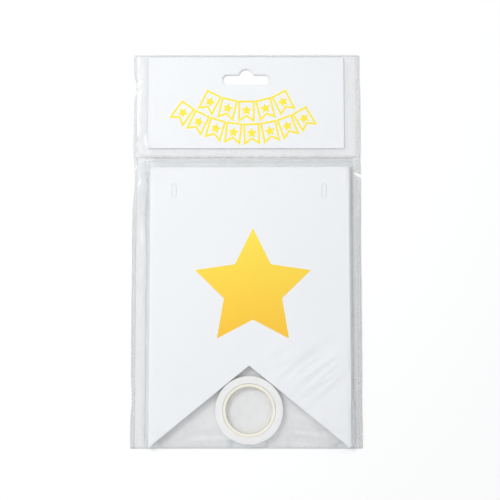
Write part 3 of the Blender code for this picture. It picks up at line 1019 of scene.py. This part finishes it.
def cardPlace(name):
    # where the middle of a card's top edge is, and how the card is turned
    points = [v.co for v in nodes[name].data.vertices]
    left = max(points, key=lambda p: p.y - p.x)
    right = max(points, key=lambda p: p.y + p.x)
    middle = (left + right) / 2
    return Matrix.Translation((middle.x, middle.y, 0)) @ Matrix.Rotation(
        math.atan2(right.y - left.y, right.x - left.x), 4, "Z")


def makeTabs():
    # the punched tabs are still in the slots, a hair under the card's faces
    sunk = threadSlot["sunk"]
    for name in pennants:
        low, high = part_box(name)
        shape = bmesh.new()
        for side in (-1, 1):
            addSlab(shape, tabOutline(side), low.z + sunk, high.z - low.z - 2 * sunk, cardPlace(name))
        newPiece("slotTabs" + name[-2:], meshOf(shape, "slotTabs"), name, "white_board", material=whiteBoard)


bunting = {
    "rows": (
        # sizes in mm, angles in degrees; drop is the row's lowest point under the card's top edge
        {"count": 5, "radius": 46.9, "halfAngle": 33.4, "drop": 29.1, "aside": 0.4, "turn": 0.0},
        {"count": 8, "radius": 67.5, "halfAngle": 37.3, "drop": 44.3, "aside": 1.3, "turn": -2.7},
    ),
    "width": 10.85,
    "height": 14.6,
    "notch": 3.7,
    "line": 1.3,
    "star": 3.6,
    "rise": 0.01,
}


def miniPennant():
    # outline frame and star of one drawn pennant, hanging from (0, 0)
    half, line = bunting["width"] / 2, bunting["line"]
    height, notch = bunting["height"], bunting["notch"]
    slope = notch / half
    outer = [(-half, 0), (-half, -height), (0, -height + notch), (half, -height), (half, 0)]
    lean = line * math.hypot(1, slope)
    inner = [(-half + line, -line), (-half + line, -height + lean + slope * line), (0, -height + notch + lean),
             (half - line, -height + lean + slope * line), (half - line, -line)]
    shape = bmesh.new()
    rise = bunting["rise"] * mm
    for i in range(len(outer)):
        j = (i + 1) % len(outer)
        ring = [outer[i], outer[j], inner[j], inner[i]]
        addSlab(shape, [Vector(p) * mm for p in ring], 0, rise)
    centre = Matrix.Translation((0, -height * 0.45 * mm, 0))
    addSlab(shape, starOutline(bunting["star"] * mm, 0.5, 0.2 * mm, 2), 0, rise, centre)
    bmesh.ops.recalc_face_normals(shape, faces=shape.faces)
    return meshOf(shape, "miniPennant")


def makeRowTree():
    # the drawn pennants hang side by side on an arc
    tree, given, result = geometryTree("buntingRow", {
        "Count": 5, "Radius": 0.05, "Half Angle": 30.0, "Turn": 0.0, "Side": 0.0, "Lowest": 0.0, "Level": 0.0,
        "Material": None,
    })
    step = mathNode(tree, "DIVIDE", mathNode(tree, "MULTIPLY", given["Half Angle"], 2.0), given["Count"])
    index = tree.nodes.new("GeometryNodeInputIndex").outputs[0]
    along = mathNode(tree, "MULTIPLY", mathNode(tree, "ADD", index, 0.5), step)
    swing = mathNode(tree, "ADD", mathNode(tree, "SUBTRACT", along, given["Half Angle"]), given["Turn"])
    angle = mathNode(tree, "RADIANS", swing)
    fall = mathNode(tree, "SUBTRACT", 1.0, mathNode(tree, "COSINE", angle))
    around = joined(tree, mathNode(tree, "MULTIPLY", mathNode(tree, "SINE", angle), given["Radius"]),
                    mathNode(tree, "MULTIPLY", fall, given["Radius"]))
    lowest = joined(tree, given["Side"], given["Lowest"], given["Level"])
    dots = place(tree, "GeometryNodePoints", Count=given["Count"],
                 Position=vectorNode(tree, "ADD", around, lowest))
    hung = place(tree, "GeometryNodeInstanceOnPoints", Points=dots.outputs[0], Instance=given["Geometry"],
                 Rotation=joined(tree, z=angle))
    finishTree(tree, hung.outputs[0], given, result)
    return tree


def makeBunting():
    tree = makeRowTree()
    shape = bmesh.new()
    for row in bunting["rows"]:
        shape.from_mesh(runTree(miniPennant(), tree, {
            "Count": row["count"], "Radius": row["radius"] * mm, "Half Angle": row["halfAngle"],
            "Turn": row["turn"], "Side": cardMiddle.x + row["aside"] * mm,
            "Lowest": headerCard[1].y - row["drop"] * mm, "Level": headerCard[1].z + printGap,
            "Material": yellowInk,
        }))
    mesh = meshOf(shape, "printedBunting")
    newPiece("printedBunting", mesh, "header_card", "yellow_print", material=yellowInk)


makeStars()
makeTabs()
makeBunting()
for name in pennants + ["header_card"]:
    paint(nodes[name].data, whiteBoard)
print("cards: foil stars, slot tabs and printed bunting")


# Ribbon roll

ribbon = {
    "pitch": 0.055 * mm,  # one turn's thickness, so the roll holds about 10 m
    "fill": 0.96,
    "stepsPerTurn": 64,
    "unevenness": 0.07 * mm,
    "groove": 0.08 * mm,
    "edgeScale": 9000.0,  # how fast the edges change from turn to turn
    "grooveScale": 1900.0,
    "coreGap": 0.12 * mm,
}


def makeRibbonTree():
    # one strip wound as a flat spiral, its edges a little uneven from turn to turn
    tree, given, result = geometryTree("ribbonWinding", {
        "Inner Radius": 0.017, "Outer Radius": 0.0218, "Turns": 86.0, "Steps": 64, "Ribbon Width": 0.005,
        "Thickness": 0.00004, "Unevenness": ribbon["unevenness"], "Groove": ribbon["groove"], "Material": None,
    })
    spiral = place(tree, "GeometryNodeCurveSpiral", Resolution=given["Steps"], Rotations=given["Turns"],
                   Start_Radius=given["Inner Radius"], End_Radius=given["Outer Radius"], Height=0.0)
    upright = place(tree, "GeometryNodeSetCurveNormal", mode="Z_UP", Curve=spiral.outputs[0])
    strip = place(tree, "GeometryNodeCurvePrimitiveQuadrilateral", mode="RECTANGLE")
    feed(tree, (strip.inputs["Width"], strip.inputs["Height"]), (given["Thickness"], given["Ribbon Width"]))
    wound = place(tree, "GeometryNodeCurveToMesh", Curve=upright.outputs[0], Profile_Curve=strip.outputs[0],
                  Fill_Caps=True)
    where = parted(tree, tree.nodes.new("GeometryNodeInputPosition").outputs[0])
    flat = joined(tree, where["X"], where["Y"])
    radius = vectorNode(tree, "LENGTH", flat)
    heading = parted(tree, vectorNode(tree, "NORMALIZE", flat))
    sample = joined(tree, mathNode(tree, "MULTIPLY", radius, ribbon["edgeScale"]), heading["X"], heading["Y"])
    uneven = place(tree, "ShaderNodeTexNoise", Vector=sample, Scale=0.7, Detail=1.5)
    groove = place(tree, "ShaderNodeTexNoise", noise_dimensions="1D", Scale=1.0, Detail=0.0,
                   W=mathNode(tree, "MULTIPLY", radius, ribbon["grooveScale"]))
    drop = mathNode(tree, "MULTIPLY", uneven.outputs[0], given["Unevenness"])
    drop = mathNode(tree, "ADD", drop, mathNode(tree, "MULTIPLY", groove.outputs[0], given["Groove"]))
    top = mathNode(tree, "GREATER_THAN", where["Z"], 0.0)
    sink = joined(tree, z=mathNode(tree, "MULTIPLY", mathNode(tree, "MULTIPLY", drop, -1.0), top))
    lowered = place(tree, "GeometryNodeSetPosition", Geometry=wound.outputs[0], Offset=sink)
    finishTree(tree, lowered.outputs[0], given, result)
    return tree


def makeRibbon():
    outer = (roll[1].x - roll[0].x) / 2
    inner = (core[1].x - core[0].x) / 2 + ribbon["coreGap"]
    turns = (outer - inner) / ribbon["pitch"] - 1
    thickness = ribbon["pitch"] * ribbon["fill"]
    mesh = runTree(bpy.data.meshes.new("seed"), makeRibbonTree(), {
        "Inner Radius": inner + thickness, "Outer Radius": outer - thickness, "Turns": turns,
        "Steps": ribbon["stepsPerTurn"], "Ribbon Width": roll[1].z - roll[0].z, "Thickness": thickness,
        "Material": satinRibbon,
    })
    mesh.transform(Matrix.Translation(rollMiddle))
    newPiece("ribbonWinding", mesh, "ribbon_roll", "white_ribbon", "ribbon_winding")
    print("ribbon:", len(mesh.polygons), "faces,", round(turns), "turns")


makeRibbon()
for name, material in (("ribbon_core", coreBoard), ("glue_strip", clearGlue)):
    paint(nodes[name].data, material)


# Floor, light and camera

def makeFloor():
    mesh = meshFrom("floor", [(-3, -3, 0), (3, -3, 0), (3, 3, 0), (-3, 3, 0)], [[0, 1, 2, 3]], False)
    floor = addObject("floor", mesh)
    floor.location.z = -0.02 * mm
    material, tree, shader = newMaterial("paleFloor")
    shader.inputs["Base Color"].default_value = (0.985, 0.985, 0.985, 1)
    shader.inputs["Roughness"].default_value = 0.7
    mesh.materials.append(material)


def addLight(name, size, energy, location):
    data = bpy.data.lights.new(name, "AREA")
    data.shape = "RECTANGLE"
    data.size, data.size_y = size
    data.energy = energy
    light = addObject(name, data)
    light.location = location
    light.rotation_euler = (-Vector(location)).to_track_quat("-Z", "Y").to_euler()


studio = {
    "overhead": (0.99, 0.995, 1.0, 1),  # the white room above
    "horizon": (0.38, 0.385, 0.395, 1),
    "key": 3.7,
    "keySize": (0.34, 0.34),
    "keyPlace": (-0.50, 0.36, 0.86),
}


def makeLight():
    world = bpy.data.worlds.new("studio")
    world.use_nodes = True
    tree = world.node_tree
    heading = parted(tree, place(tree, "ShaderNodeTexCoord").outputs["Generated"])
    height = mathNode(tree, "MAXIMUM", heading["Z"], 0.0)
    tree.links.new(mixColours(tree, height, studio["horizon"], studio["overhead"]),
                   tree.nodes["Background"].inputs["Color"])
    bpy.context.scene.world = world
    addLight("keyLight", studio["keySize"], studio["key"], studio["keyPlace"])


view = {
    "distance": 0.70,
    "tilt": math.radians(5),
    "width": 0.325,  # width of the view at the object
    "aim": (2.3 * mm, -1.05 * mm, 3 * mm),
}


def makeCamera():
    data = bpy.data.cameras.new("camera")
    camera = addObject("camera", data)
    aim = Vector(view["aim"])
    away = Vector((0, -math.sin(view["tilt"]), math.cos(view["tilt"])))
    camera.location = aim + away * view["distance"]
    camera.rotation_euler = (view["tilt"], 0, 0)
    data.sensor_width = 36
    data.lens = 36 * view["distance"] / view["width"]
    data.clip_start = 0.01
    bpy.context.scene.camera = camera


makeFloor()
makeLight()
makeCamera()
bpy.context.scene.view_settings.view_transform = "Standard"
bpy.context.scene.cycles.transparent_max_bounces = 32  # light goes through up to four films twice
print("floor, light and camera")
